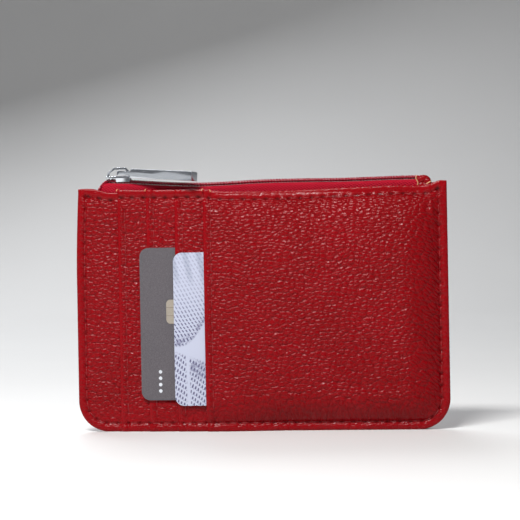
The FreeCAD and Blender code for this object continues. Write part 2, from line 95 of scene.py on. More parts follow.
# How far the mouth sags below its corners, as (x, drop) pairs
FRONT_SAG = [(-50.7, 0.7), (-41.6, 0.9), (-29.5, 1.15), (-19.6, 1.3), (-15.5, 1.95), (-4, 2.35), (14, 2.2),
             (32.5, 1.65), (50, 1.35), (57, 1.55), (60.2, 1.25), (61.8, 0.5), (62.8, 0.05), (66, 0.0)]
BASE_SAG = [(-66, 0.15), (-64, 0.0), (-60.4, 0.15), (-58, 0.6), (-55, 1.4), (-50, 1.45), (-20, 2.2),
            (10, 2.6), (50, 1.9), (61, 0.8), (66, 0.3)]
BACK_SAG = [(-66, 0.0), (-59, 0.4), (-41, 1.0), (-5, 2.1), (13, 2.0), (49, 1.2), (59, 0.5), (66, 0.0)]
ZIP_SAG = [(-55, 0.0), (-48, 0.25), (-41, 0.75), (-31, 1.45), (-21, 1.84), (-14, 1.73), (1, 1.2),
           (14.5, 1.13), (29, 1.25), (43, 1.03), (50, 0.92), (56, 0.9)]


# ------------------------------------------------------------------------------------------
# Small numeric helpers
# ------------------------------------------------------------------------------------------
def smooth(t):
    t = np.clip(t, 0.0, 1.0)
    return t * t * (3 - 2 * t)


def swell(t):
    """Rises steeply from a seam and levels off, like cloth drawn over a pad."""
    return 1 - (1 - np.clip(t, 0.0, 1.0)) ** 2.3


def bell(distance, width):
    return np.exp(-((distance / width) ** 2))


def curve_through(pairs, x):
    """A smooth curve through (x, value) pairs: cubic Hermite with finite-difference slopes."""
    px = np.array([p[0] for p in pairs], float)
    pv = np.array([p[1] for p in pairs], float)
    slope = np.gradient(pv, px)
    x = np.clip(np.asarray(x, float), px[0], px[-1])
    k = np.clip(np.searchsorted(px, x) - 1, 0, len(px) - 2)
    run = px[k + 1] - px[k]
    t = (x - px[k]) / run
    a = 2 * t**3 - 3 * t**2 + 1
    b = t**3 - 2 * t**2 + t
    c = -2 * t**3 + 3 * t**2
    d = t**3 - t**2
    return a * pv[k] + b * run * slope[k] + c * pv[k + 1] + d * run * slope[k + 1]


def ripple(x, z, seed, wave=23.0):
    """A slow, fixed undulation between about -1 and 1."""
    total = np.zeros_like(np.asarray(x, float) + np.asarray(z, float))
    for k in range(4):
        angle = seed * 1.7 + k * 2.4
        length = wave * (1 + 0.37 * k)
        along = (x * math.cos(angle) + z * math.sin(angle)) * 2 * math.pi / length
        total = total + np.sin(along + seed * 3.1 + k)
    return total / 4


def grid_lines(start, end, step, edge=0.0, steps=5, wide=None, margin=5.5):
    """Positions from start to end, close together within edge of both ends.

    wide, when given, is the longer step used farther than margin from both ends.
    """
    ends = edge * (1 - np.cos(np.linspace(0, math.pi / 2, steps + 1)))
    low, high = start + edge, end - edge
    if wide is None or high - low < 2 * margin + 2:
        middle = np.linspace(low, high, max(2, int(round((high - low) / step)) + 1))
    else:
        near = np.linspace(low, low + margin, int(round(margin / step)) + 1)
        far = np.linspace(high - margin, high, int(round(margin / step)) + 1)
        count = int(round((high - low - 2 * margin) / wide)) + 1
        middle = np.concatenate([near[:-1], np.linspace(low + margin, high - margin, count), far[1:]])
    return np.concatenate([start + ends[:-1], middle, end - ends[:-1][::-1]])


# ------------------------------------------------------------------------------------------
# Materials
# ------------------------------------------------------------------------------------------
class Nodes:
    """A short way to write a material's node tree."""

    def __init__(self, name):
        self.material = bpy.data.materials.new(name)
        self.material.use_nodes = True
        self.tree = self.material.node_tree
        self.shader = self.tree.nodes["Principled BSDF"]

    def new(self, kind, inputs=None, **settings):
        node = self.tree.nodes.new(kind)
        for key, value in settings.items():
            setattr(node, key, value)
        for key, value in (inputs or {}).items():
            self.feed(node.inputs[key], value)
        return node

    def feed(self, socket, value):
        if isinstance(value, bpy.types.NodeSocket):
            self.tree.links.new(value, socket)
        else:
            socket.default_value = value

    def math(self, operation, a, b=0.0, clamp=False):
        node = self.new("ShaderNodeMath", {0: a, 1: b}, operation=operation, use_clamp=clamp)
        return node.outputs[0]

    def plus(self, a, b):
        return self.math("ADD", a, b)

    def minus(self, a, b):
        return self.math("SUBTRACT", a, b)

    def times(self, a, b):
        return self.math("MULTIPLY", a, b)

    def remap(self, value, low, high, to_low=0.0, to_high=1.0):
        inputs = {0: value, 1: low, 2: high, 3: to_low, 4: to_high}
        return self.new("ShaderNodeMapRange", inputs, interpolation_type="SMOOTHSTEP").outputs[0]

    def mix(self, share, a, b):
        node = self.new("ShaderNodeMix", data_type="RGBA")
        self.feed(node.inputs[0], share)
        self.feed(node.inputs[6], a)
        self.feed(node.inputs[7], b)
        return node.outputs[2]

    def set(self, **values):
        for key, value in values.items():
            self.feed(self.shader.inputs[key.replace("_", " ")], value)

    def position(self, scale=1000.0):
        """Object coordinates in millimetres."""
        coordinates = self.new("ShaderNodeTexCoord").outputs["Object"]
        size = (scale,) * 3 if isinstance(scale, float) else scale
        return self.new("ShaderNodeMapping", {"Vector": coordinates, "Scale": size}).outputs[0]

    def noise(self, vector, scale, detail=3.0, roughness=0.5):
        inputs = {"Vector": vector, "Scale": scale, "Detail": detail, "Roughness": roughness}
        return self.new("ShaderNodeTexNoise", inputs).outputs["Fac"]

    def bump(self, height, distance, strength=1.0, before=None):
        inputs = {"Height": height, "Distance": distance * MM, "Strength": strength}
        node = self.new("ShaderNodeBump", inputs)
        if before is not None:
            self.tree.links.new(before, node.inputs["Normal"])
        return node.outputs[0]

    def attribute(self, name):
        return self.new("ShaderNodeAttribute", attribute_name=name).outputs["Fac"]


def leather_material(name="red_leather"):
    """Pebbled cherry-red leather; the attribute 'smooth' flattens the grain on folds and beads and paints
    them lighter as a highlight; the valleys between the pebbles and the stitch holes are painted darker as
    shade.
    """
    n = Nodes(name)
    place = n.position()
    split = n.new("ShaderNodeSeparateXYZ", {0: place})
    # the grain is laid over the sheet's face: X along it, Z up it, and Y carries it round the edges
    up = n.plus(split.outputs["Z"], split.outputs["Y"])
    flat = n.new("ShaderNodeCombineXYZ", {"X": split.outputs["X"], "Y": up}).outputs[0]

    def pushed(vector, scale, far):
        """The vector moved about by a noise, so that the cells lose their straight lines."""
        warp = n.new("ShaderNodeTexNoise", {"Vector": flat, "Scale": scale, "Detail": 1.0}).outputs["Color"]
        shift = n.new("ShaderNodeVectorMath", {0: warp, 1: (0.5, 0.5, 0.5)}, operation="SUBTRACT").outputs[0]
        shift = n.new("ShaderNodeVectorMath", {0: shift, "Scale": far}, operation="SCALE").outputs[0]
        return n.new("ShaderNodeVectorMath", {0: vector, 1: shift}, operation="ADD").outputs[0]

    bent = pushed(pushed(flat, 0.16, 2.4), 0.9, 0.8)
    turned = {"Vector": bent, "Rotation": (0.0, 0.0, 0.16), "Scale": (0.66, 1.0, 1.0)}
    lean = n.new("ShaderNodeMapping", turned).outputs[0]

    def cells(feature):
        inputs = {"Vector": lean, "Scale": GRAIN, "Randomness": 0.8}
        return n.new("ShaderNodeTexVoronoi", inputs, feature=feature, voronoi_dimensions="2D").outputs

    edge = cells("DISTANCE_TO_EDGE")["Distance"]
    middle = cells("F1")
    own = n.new("ShaderNodeSeparateColor", {0: middle["Color"]}).outputs[0]
    dome = n.minus(1.0, n.times(n.math("POWER", middle["Distance"], 2.0), 1.3))
    dome = n.times(dome, n.plus(0.29, n.times(own, 0.18)))
    valley = n.remap(edge, 0.0, 0.24, 1.0, 0.0)
    plain = n.attribute("smooth")
    grain = n.minus(1.0, n.times(plain, 0.85))
    crumple = n.noise(flat, 1.1, 2.0, 0.5)
    height = n.plus(dome, n.times(crumple, 0.10))
    height = n.minus(height, n.times(valley, 0.035))
    height = n.times(height, grain)
    pores = n.noise(flat, 6.0, 2.0, 0.6)
    coarse = n.bump(height, 1.0, 1.0)
    both = n.bump(pores, 0.008, 0.5, coarse)
    valley = n.times(valley, grain)
    pit = n.attribute("pit")
    blotch = n.noise(flat, 0.05, 2.0)
    colour = n.mix(n.remap(blotch, 0.3, 0.7), (0.190, 0.0010, 0.0028, 1), (0.218, 0.0014, 0.0040, 1))
    # painted shade: the valleys between the pebbles are coloured darker
    colour = n.mix(n.times(valley, 0.28), colour, (0.11, 0.0012, 0.0018, 1))
    # painted highlight: where the grain is pressed smooth (beads, folds, the turned top edge and the lowest
    # band) the colour is lighter, as if catching the light
    colour = n.mix(n.times(plain, 0.3), colour, (0.235, 0.0018, 0.0050, 1))
    # painted shade in the stitch holes and furrows of the seams
    colour = n.mix(n.times(pit, 0.85), colour, (0.045, 0.0012, 0.0016, 1))
    rough = n.plus(n.remap(pores, 0.3, 0.7, 0.18, 0.25), n.times(valley, 0.2))
    n.set(Base_Color=colour, Roughness=rough, Normal=both, Specular_IOR_Level=0.13)
    return n.material


def cloth_material(name, dark, light, threads=2.6, depth=0.1, gloss=0.75):
    """Woven cloth: diagonal ribs broken up by the crossing threads."""
    n = Nodes(name)
    place = n.position()
    split = n.new("ShaderNodeSeparateXYZ", {0: place})
    across = n.times(split.outputs["X"], threads * 2 * math.pi)
    rise = n.plus(split.outputs["Z"], split.outputs["Y"])
    up = n.times(rise, threads * 2 * math.pi)
    twill = n.math("SINE", n.plus(across, up))
    weft = n.math("SINE", n.minus(n.times(across, 0.5), n.times(up, 1.5)))
    fuzz = n.noise(place, 5.0, 3.0, 0.7)
    height = n.plus(n.times(twill, 0.6), n.times(weft, 0.4))
    height = n.plus(height, fuzz)
    # painted shade and highlight: the weave's hollows take the dark colour and its ribs the light one
    share = n.remap(height, -0.3, 1.3)
    n.set(Base_Color=n.mix(share, dark, light), Roughness=gloss, Normal=n.bump(height, depth, 0.9))
    n.set(Specular_IOR_Level=0.15)
    return n.material


def thread_material():
    n = Nodes("thread")
    place = n.position()
    split = n.new("ShaderNodeSeparateXYZ", {0: place})
    turns = n.plus(split.outputs["X"], split.outputs["Z"])
    twist = n.math("SINE", n.times(turns, 14.0))
    # painted shade and highlight: the twist's grooves are coloured darker and its plies lighter
    colour = n.mix(n.remap(twist, -1.0, 1.0), (0.17, 0.0035, 0.005, 1), (0.25, 0.006, 0.009, 1))
    n.set(Base_Color=colour, Roughness=0.42, Normal=n.bump(twist, 0.02, 0.7), Specular_IOR_Level=0.4)
    return n.material


def tan_material():
    """Undyed thread tails and raw leather edges."""
    n = Nodes("undyed_thread")
    fibre = n.noise(n.position(), 5.0, 3.0)
    n.set(Base_Color=n.mix(fibre, (0.42, 0.17, 0.07, 1), (0.72, 0.38, 0.2, 1)), Roughness=0.7)
    return n.material


def coil_material():
    n = Nodes("nylon_coil")
    shade = n.noise(n.position(), 3.0, 2.0)
    colour = n.mix(shade, (0.15, 0.002, 0.009, 1), (0.30, 0.003, 0.02, 1))
    n.set(Base_Color=colour, Roughness=n.remap(shade, 0.3, 0.7, 0.2, 0.3), Specular_IOR_Level=0.4)
    return n.material


def chrome_material():
    """Bright plating with faint wipe marks."""
    n = Nodes("polished_zip_metal")
    haze = n.noise(n.position((260.0, 900.0, 1400.0)), 0.8, 4.0, 0.6)
    marks = n.noise(n.position((90.0, 900.0, 2600.0)), 1.6, 3.0)
    rough = n.plus(n.remap(haze, 0.3, 0.75, 0.10, 0.18), n.remap(marks, 0.62, 0.74, 0.0, 0.08))
    colour = n.mix(haze, (0.60, 0.63, 0.68, 1), (0.74, 0.77, 0.81, 1))
    n.set(Base_Color=colour, Metallic=1.0, Roughness=rough, Normal=n.bump(haze, 0.01, 0.3))
    return n.material


def grey_card_material():
    """Satin grey card with a fine metallic speckle."""
    n = Nodes("grey_card")
    place = n.position()
    speck = n.noise(place, 5.2, 4.0, 0.8)
    cloud = n.noise(place, 0.05, 2.0)
    colour = n.mix(n.remap(speck, 0.38, 0.62), (0.058, 0.051, 0.058, 1), (0.122, 0.110, 0.122, 1))
    colour = n.mix(n.remap(cloud, 0.3, 0.7, 0.0, 0.3), colour, (0.108, 0.095, 0.104, 1))
    n.set(Base_Color=colour, Roughness=n.remap(speck, 0.3, 0.7, 0.34, 0.5), Specular_IOR_Level=0.55)
    n.set(Normal=n.bump(speck, 0.01, 0.5), Metallic=0.15)
    return n.material


def chip_material(low, high):
    """Contact plate: pale gold fields parted by fine lines."""
    n = Nodes("contact_plate")
    place = n.position()
    split = n.new("ShaderNodeSeparateXYZ", {0: place})
    row_height = float(high[2] - low[2]) / 3
    rows = n.math("DIVIDE", n.minus(split.outputs["Z"], float(low[2])), row_height)
    cell = n.math("FRACT", rows)
    line = n.math("ABSOLUTE", n.minus(cell, 0.5))
    groove = n.remap(line, 0.465, 0.49)
    grain = n.noise(place, 2.0, 3.0)
    field = n.mix(grain, (0.36, 0.31, 0.25, 1), (0.47, 0.42, 0.35, 1))
    n.set(Base_Color=n.mix(groove, field, (0.17, 0.14, 0.12, 1)), Metallic=0.55)
    n.set(Roughness=n.remap(grain, 0.3, 0.7, 0.3, 0.42), Normal=n.bump(groove, 0.02, -0.6))
    return n.material


def patterned_card_material(low):
    """Cool white print: rows of short slanted dashes that thicken in two bands, under soft folds of shade."""
    n = Nodes("patterned_card")
    place = n.position()
    split = n.new("ShaderNodeSeparateXYZ", {0: place})
    x, z = split.outputs["X"], split.outputs["Z"]
    across = n.minus(x, float(low[0]))
    rise = n.minus(z, float(low[2]))
    wobble = n.times(n.minus(n.noise(place, 0.16, 2.0), 0.5), 3.0)

    def dashes(turn, column, row, wide, tall, offset):
        """A lattice of slanted dashes, each row shifted half a column."""
        u = n.plus(n.times(across, math.cos(turn)), n.times(rise, math.sin(turn)))
        v = n.minus(n.times(rise, math.cos(turn)), n.times(across, math.sin(turn)))
        v = n.plus(v, n.times(wobble, 0.7))
        line = n.math("DIVIDE", v, row)
        shifted = n.times(n.math("FLOOR", line), 0.5)
        u_cell = n.minus(n.math("FRACT", n.plus(n.math("DIVIDE", u, column), shifted)), 0.5)
        v_cell = n.minus(n.math("FRACT", n.plus(line, offset)), 0.5)
        tilt = n.plus(u_cell, n.times(v_cell, 0.5))
        spread = n.math("POWER", n.math("DIVIDE", tilt, wide), 2.0)
        stretch = n.math("POWER", n.math("DIVIDE", v_cell, tall), 2.0)
        return n.remap(n.plus(spread, stretch), 0.7, 1.3, 1.0, 0.0)

    upper = dashes(0.12, 1.25, 1.45, 0.22, 0.40, 0.0)
    lower = dashes(-0.62, 1.15, 1.75, 0.27, 0.36, 0.25)
    # one patch of dashes ends in a round lower edge, the other starts under a slanted line
    reach_down = n.plus(20.8, n.times(n.math("POWER", n.minus(across, 1.5), 2.0), 0.10))
    in_upper = n.remap(n.minus(rise, reach_down), -0.5, 0.7)
    fade_up = n.remap(rise, 24.0, 45.0, 1.0, 0.0)
    slant = n.plus(19.6, n.times(across, -0.35))
    in_lower = n.remap(n.minus(slant, rise), 0.0, 1.4)
    gap = n.math("ABSOLUTE", n.minus(across, n.plus(5.0, n.times(rise, -0.02))))
    in_lower = n.times(in_lower, n.remap(gap, 0.25, 0.9))
    off_edge = n.math("ABSOLUTE", n.minus(rise, reach_down))
    band = n.times(n.remap(off_edge, 0.6, 4.6, 1.0, 0.0), in_upper)
    lower_band = n.remap(n.math("ABSOLUTE", n.minus(slant, n.plus(rise, 4.0))), 1.5, 4.5, 1.0, 0.0)
    lower_band = n.times(n.times(lower_band, in_lower), n.remap(across, 5.0, 6.0))
    ink_upper = n.times(n.times(upper, in_upper), n.plus(0.32, n.times(fade_up, 0.65)))
    ink_lower = n.times(n.times(lower, in_lower), 0.95)
    mottle = n.remap(n.noise(place, 0.9, 3.0, 0.7), 0.38, 0.62)
    ink = n.math("MAXIMUM", ink_upper, ink_lower)
    ink = n.math("MAXIMUM", ink, n.times(n.times(band, mottle), 0.75))
    ink = n.math("MAXIMUM", ink, n.times(n.times(lower_band, mottle), 0.6))
    folds = n.math("SINE", n.plus(n.times(across, 1.3), n.times(rise, 0.28)))
    veil = n.times(n.remap(folds, -0.4, 1.0), n.remap(rise, 41.0, 47.0))
    paper = n.mix(n.times(veil, 0.55), (0.44, 0.465, 0.575, 1), (0.26, 0.285, 0.365, 1))
    colour = n.mix(ink, paper, (0.075, 0.07, 0.15, 1))
    n.set(Base_Color=colour, Roughness=n.remap(mottle, 0.0, 1.0, 0.36, 0.44), Specular_IOR_Level=0.4)
    n.set(Normal=n.bump(n.noise(place, 4.0, 2.0), 0.004, 0.4))
    return n.material


LEATHER_LOOK = leather_material()
# each cloth's two colours are its painted shaded and lit tones across the weave
LINING_LOOK = cloth_material(
    "lining_cloth", (0.028, 0.004, 0.006, 1), (0.075, 0.012, 0.016, 1), 3.2, 0.05, 0.8
)
TAPE_LOOK = cloth_material("twill_tape", (0.20, 0.0006, 0.006, 1), (0.46, 0.0012, 0.022, 1), 0.95, 0.10, 0.7)
THREAD_LOOK = thread_material()
TAN_LOOK = tan_material()
COIL_LOOK = coil_material()
CHROME_LOOK = chrome_material()
GREY_LOOK = grey_card_material()


# ------------------------------------------------------------------------------------------
# Mesh makers
# ------------------------------------------------------------------------------------------
def make_object(name, points, faces, material, flat=False, **values):
    """A mesh object from points in millimetres; values are attributes, one number per point."""
    mesh = bpy.data.meshes.new(name)
    mesh.from_pydata((np.asarray(points, float) * MM).tolist(), [], [list(map(int, f)) for f in faces])
    mesh.update()
    if not flat:
        mesh.shade_smooth()
    for key, numbers in values.items():
        layer = mesh.attributes.new(key, "FLOAT", "POINT")
        layer.data.foreach_set("value", np.asarray(numbers, np.float32))
    mesh.materials.append(material)
    thing = bpy.data.objects.new(name, mesh)
    bpy.context.collection.objects.link(thing)
    return thing


def sheet_arrays(x, z, near, far, *values):
    """Points, faces and per-point values of a closed sheet from its grids.

    Both sides share the outermost ring of points; x, z, near (the -Y side) and far are (n, m).
    """
    n, m = x.shape
    front_index = np.arange(n * m).reshape(n, m)
    front = np.stack([x, near, z], -1).reshape(-1, 3)
    inner = np.stack([x, far, z], -1)[1:-1, 1:-1].reshape(-1, 3)
    back_index = front_index.copy()
    back_index[1:-1, 1:-1] = n * m + np.arange((n - 2) * (m - 2)).reshape(n - 2, m - 2)

    def quads(index, turned):
        a, b, c, d = index[:-1, :-1], index[1:, :-1], index[1:, 1:], index[:-1, 1:]
        order = (a, d, c, b) if turned else (a, b, c, d)
        return np.stack([part.ravel() for part in order], -1)

    faces = np.concatenate([quads(front_index, False), quads(back_index, True)])
    spread = [np.concatenate([grid.ravel(), grid[1:-1, 1:-1].ravel()]) for grid in values]
    return np.concatenate([front, inner]), faces, *spread


def two_sided(outer, inner):
    """Points and faces of a closed sheet between two equal grids of points, each (n, m, 3)."""
    rows, columns = outer.shape[:2]
    half_count = rows * columns
    near = np.arange(half_count).reshape(rows, columns)

    def quads(index):
        corners = [index[:-1, :-1], index[1:, :-1], index[1:, 1:], index[:-1, 1:]]
        return np.stack(corners, -1).reshape(-1, 4)

    faces = quads(near).tolist() + quads(near + half_count)[:, ::-1].tolist()
    ring = np.concatenate([near[:, 0], near[-1, 1:], near[::-1, -1][1:], near[0, ::-1][1:-1]])
    for a, b in zip(ring, np.roll(ring, -1)):
        faces.append([b, a, a + half_count, b + half_count])
    return np.concatenate([outer.reshape(-1, 3), inner.reshape(-1, 3)]), faces


def to_round_corners(x, z, left, right, radius=CORNER):
    """Moves the points of square bottom corners into round ones, smoothly."""
    x = x.copy()
    z = z.copy()
    for wanted, side in ((left, -1.0), (right, 1.0)):
        if not wanted:
            continue
        a = (side * x - (HALF - radius)) / radius
        b = (radius - z) / radius
        inside = (a > 0) & (b > 0)
        a_new = a * np.sqrt(np.clip(1 - b * b / 2, 0, 1))
        b_new = b * np.sqrt(np.clip(1 - a * a / 2, 0, 1))
        x = np.where(inside, side * (HALF - radius + radius * a_new), x)
        z = np.where(inside, radius - radius * b_new, z)
    return x, z


def rounded_over(inset, radius):
    """Share of the full thickness at a distance from an edge: the round of the edge."""
    return np.sqrt(np.clip(1 - (1 - np.clip(inset / radius, 0, 1)) ** 2, 0, 1))


def leather_sheet(name, xs, zs, place, face, thickness, sag, fold=None, round_edge=0.5, turned=False):
    """A closed leather sheet.

    xs and zs are design grid lines; place(x, z) moves a grid to where it lies; face(x, z) is
    the depth of the visible side; thickness is added behind it (in front of it if turned).
    sag is its mouth's curve and fold the X of its turned edge, if it has one.
    """
    gx, gz = np.meshgrid(xs, zs, indexing="ij")
    share_x = rounded_over(np.minimum(gx - xs[0], xs[-1] - gx), round_edge)
    share_z = rounded_over(np.minimum(gz - zs[0], zs[-1] - gz), round_edge)
    share = share_x * share_z
    share[0, :] = share[-1, :] = 0.0
    share[:, 0] = share[:, -1] = 0.0
    x, z = place(gx, gz)
    seen = face(x, z)
    direction = -1.0 if turned else 1.0
    middle = seen + direction * thickness / 2
    near_side = middle - direction * thickness / 2 * share
    far_side = middle + direction * thickness / 2 * share
    if turned:
        near_side, far_side = far_side, near_side
    grids = plainness(x, z, sag, fold), pits(x, z, sag, fold)
    points, faces, plain, pit = sheet_arrays(x, z, near_side, far_side, *grids)
    return make_object(name, points, faces, LEATHER_LOOK, smooth=plain, pit=pit)


def tube_arrays(path, radius, sides=6, caps=True):
    """Points and faces of a round tube along a path; radius is one number or one per point."""
    path = np.asarray(path, float)
    count = len(path)
    radius = np.broadcast_to(np.asarray(radius, float), (count,))
    ahead = np.gradient(path, axis=0)
    ahead /= np.linalg.norm(ahead, axis=1)[:, None]
    side = np.zeros_like(path)
    guide = np.array([0.0, 1.0, 0.0]) if abs(ahead[0][1]) < 0.8 else np.array([0.0, 0.0, 1.0])
    for k in range(count):
        guide = guide - ahead[k] * np.dot(guide, ahead[k])
        guide /= np.linalg.norm(guide)
        side[k] = guide
    other = np.cross(ahead, side)
    turn = np.linspace(0, 2 * math.pi, sides, endpoint=False)
    ring = np.cos(turn)[None, :, None] * side[:, None, :] + np.sin(turn)[None, :, None] * other[:, None, :]
    points = (path[:, None, :] + ring * radius[:, None, None]).reshape(-1, 3)
    index = np.arange(count * sides).reshape(count, sides)
    nxt = np.roll(index, -1, axis=1)
    quads = np.stack([index[:-1], nxt[:-1], nxt[1:], index[1:]], -1).reshape(-1, 4).tolist()
    if caps:
        quads.append(index[0][::-1].tolist())
        quads.append(index[-1].tolist())
    return points, quads


def join_arrays(items):
    """Several (points, faces) as one."""
    points = []
    faces = []
    offset = 0
    for some_points, some_faces in items:
        points.append(some_points)
        faces.extend([[v + offset for v in face] for face in some_faces])
        offset += len(some_points)
    return np.concatenate(points), faces


# ------------------------------------------------------------------------------------------
# The shape of the leather
# ------------------------------------------------------------------------------------------
def edge_distance(x, z):
    """Distance from the sewn outline: both sides, the bottom and its round corners."""
    a = np.abs(x) - (HALF - CORNER)
    b = CORNER - z
    straight = np.minimum(HALF - np.abs(x), z)
    return np.where((a > 0) & (b > 0), CORNER - np.hypot(a, b), straight)


def seam_run(x, z):
    """Length along the perimeter seam from the middle of the bottom, for the stitches' rhythm."""
    a = np.abs(x) - (HALF - CORNER)
    b = CORNER - z
    turn = np.arctan2(np.clip(a, 1e-6, None), np.clip(b, 1e-6, None))
    radius = CORNER - SEAM
    on_bottom = z < (HALF - np.abs(x))
    straight = np.where(on_bottom, np.abs(x), HALF - CORNER + radius * math.pi / 2 + (z - CORNER))
    return np.where((a > 0) & (b > 0), HALF - CORNER + radius * turn, straight)


def seam_relief(distance, run, bead=0.30, groove=0.30, sharp=5.0):
    """Height added by a stitched seam: a bead at the edge, a groove and a dent at each hole."""
    beat = 0.5 + 0.5 * np.cos(2 * math.pi * run / PITCH)
    relief = bead * bell(distance - 1.35, 0.95)
    relief = relief - groove * bell(distance - SEAM, 0.45)
    relief = relief - 0.34 * bell(distance - SEAM, 0.55) * beat**sharp
    relief = relief + 0.07 * bell(distance - 2.05, 0.5) * (0.5 - beat)
    relief = relief + 0.10 * bell(distance - 3.9, 0.7) * (0.5 - beat)
    return relief


def fold_relief(distance, run):
    """The line of stitches beside a slot's turned edge."""
    beat = 0.5 + 0.5 * np.cos(2 * math.pi * run / PITCH)
    relief = 0.14 * bell(distance - 1.3, 0.9) - 0.07 * bell(distance - FOLD_SEAM, 0.4)
    relief = relief - 0.10 * bell(distance - FOLD_SEAM, 0.45) * beat**4
    return relief


def left_inset(z):
    """The left side draws in a little towards the mouth."""
    return 1.0 * np.clip((z - 56.0) / 29.0, 0, 1) ** 1.6


def in_place(sag, left=False, right=False):
    """How a design grid lies: round bottom corners, the mouth's sag and the left side's inset."""

    def place(x, z):
        x, z = to_round_corners(x, z, left, right)
        drop = curve_through(sag, x)
        z = z - drop * smooth((z - (HEIGHT - 16.0)) / 16.0)
        lean = np.clip((-x - 45.0) / 20.0, 0, 1)
        return x + left_inset(z) * lean, z

    return place


def top_distance(x, z, sag):
    return HEIGHT - curve_through(sag, x) - z


def common_relief(x, z, sag):
    """Seams that run across every panel of the front: the perimeter and the mouth."""
    around = edge_distance(x - left_inset(z) * np.clip((-x - 45.0) / 20.0, 0, 1), z)
    down = top_distance(x, z, sag)
    relief = seam_relief(around, seam_run(x, z))
    mouth = seam_relief(down, x + 1.3, 0.2, 0.34, 2.0)
    mouth = mouth + 0.5 * smooth((down - 3.1) / 1.4) * smooth((17.0 - down) / 11.0)
    clear = smooth((around - 1.2) / 1.6)
    return relief * smooth((down - 0.9) / 1.5) + mouth * clear


def plainness(x, z, sag, fold=None):
    """Where the grain is pressed smooth: beads, folds and the turned top edge, which the leather also paints
    lighter as a highlight.
    """
    around = edge_distance(x, z)
    down = top_distance(x, z, sag)
    value = smooth((3.0 - around) / 1.2) * 0.72
    value = np.maximum(value, smooth((2.9 - down) / 0.8))
    value = np.maximum(value, smooth((13.0 - z) / 12.0) * 0.5)
    if fold is not None:
        value = np.maximum(value, smooth((1.5 - (x - fold)) / 0.8))
    return value


def pits(x, z, sag, fold=None):
    """Painted shade in the holes and furrows of the seams: how dark the leather is coloured there."""
    around = edge_distance(x - left_inset(z) * np.clip((-x - 45.0) / 20.0, 0, 1), z)
    down = top_distance(x, z, sag)

    def row(distance, run, sharp=6.0):
        beat = 0.5 + 0.5 * np.cos(2 * math.pi * run / PITCH)
        return bell(distance - SEAM, 0.5) * beat**sharp + 0.22 * bell(distance - SEAM, 0.3)

    value = 0.55 * row(around, seam_run(x, z)) * smooth((down - 1.0) / 1.5)
    value = np.maximum(value, 0.8 * row(down, x + 1.3, 2.5) * smooth((around - 1.2) / 1.6))
    if fold is not None:
        value = np.maximum(value, 0.22 * row(x - fold - FOLD_SEAM + SEAM, z + fold))
    return np.clip(value, 0, 1)


def low_high(z, low, dish_low, dish_high, high):
    """0 on the rims at the bottom and the top, 1 between."""
    return smooth((z - low) / (dish_low - low)) * smooth((high - z) / (high - dish_high))


def base_face(x, z):
    rise = np.sin(math.pi * np.clip((z - 4) / 76, 0, 1))
    pillow = 0.35 * rise * smooth((x + 62) / 4) * smooth((-48.0 - x) / 4)
    return BASE_FACE - pillow - common_relief(x, z, BASE_SAG) - 0.05 * ripple(x, z, 1.0)


def strip_face(number):
    """Depth of slot panel 1, 2 or 3."""
    level = (FIRST_FACE, SECOND_FACE, THIRD_RIM)[number - 1]
    raised = (0.0, 0.0, THIRD_RIM - THIRD_FACE)[number - 1]
    fold = FOLDS[number - 1]

    def face(x, z):
        from_fold = x - fold
        lift = raised * low_high(z, 4.0, 10.6, 68.0, 80.0)
        hump = 0.22 * np.sin(math.pi * np.clip((z - 4) / 76, 0, 1)) * bell(from_fold - 3.5, 4.0)
        relief = common_relief(x, z, FRONT_SAG) + fold_relief(from_fold, z + fold)
        return level - lift - hump - relief - 0.06 * ripple(x, z, number + 2.0)

    return face


def front_face(x, z):
    """Depth of the wide front panel: a soft cushion over the cards, flat at its seams."""
    from_fold = x - FOLDS[3]
    rim = FRONT_RIM_AT_FOLD + (FRONT_RIM - FRONT_RIM_AT_FOLD) * smooth((x + 16.0) / 34.0)
    across = swell((HALF - 3.5 - x) / 13.0)
    up = swell((z - 3.3) / 10.0) * swell((HEIGHT - 3.2 - z) / 22.0)
    full = FRONT_FACE - 0.1
    belly = 0.85 * np.clip(1 - ((x - 18) / 52) ** 2, 0, 1) * np.clip(1 - ((z - 40) / 44) ** 2, 0, 1)
    y = rim + (full - rim) * across * up - belly * across * up
    relief = common_relief(x, z, FRONT_SAG) + fold_relief(from_fold, z + FOLDS[3])
    # a soft crease runs down from the sewn corner at the top right
    crease = (x - HALF + 6.4) - (HEIGHT - 2.0 - z) * 0.13
    relief = relief + 0.22 * bell(crease, 0.7) * smooth((z - 66) / 10)
    # a blank stamp pressed near the lower right corner
    stamp = np.maximum(np.abs(x - 41.0) - 9.5, np.abs(z - 15.6) - 1.6)
    relief = relief - 0.14 * smooth((0.5 - stamp) / 0.9)
    return y - relief - 0.10 * ripple(x, z, 7.0, 31.0)


def back_face(x, z):
    """Depth of the back panel's outer side."""
    side = smooth((HALF - 3.9 - np.abs(x)) / 6.5)
    up = smooth((z - 3.4) / 12.0)
    belly = 0.7 * np.clip(1 - (x / 58) ** 2, 0, 1) * np.clip(1 - ((z - 40) / 46) ** 2, 0, 1)
    y = BACK_RIM + (BACK_FACE - 0.1 - BACK_RIM) * side * up + belly * side * up
    return y + common_relief(x, z, BACK_SAG) + 0.10 * ripple(x, z, 11.0, 29.0)


def front_surface(x, z):
    """Depth of whichever panel faces the front at one point."""
    if x < FOLDS[0]:
        return float(base_face(x, z))
    for number in (1, 2, 3):
        if x < FOLDS[number]:
            return float(strip_face(number)(x, z))
    return float(front_face(x, z))


# ------------------------------------------------------------------------------------------
# Leather panels
# ------------------------------------------------------------------------------------------
def height_lines(step=0.38):
    return grid_lines(0.0, HEIGHT, 0.28, 0.55, wide=step)


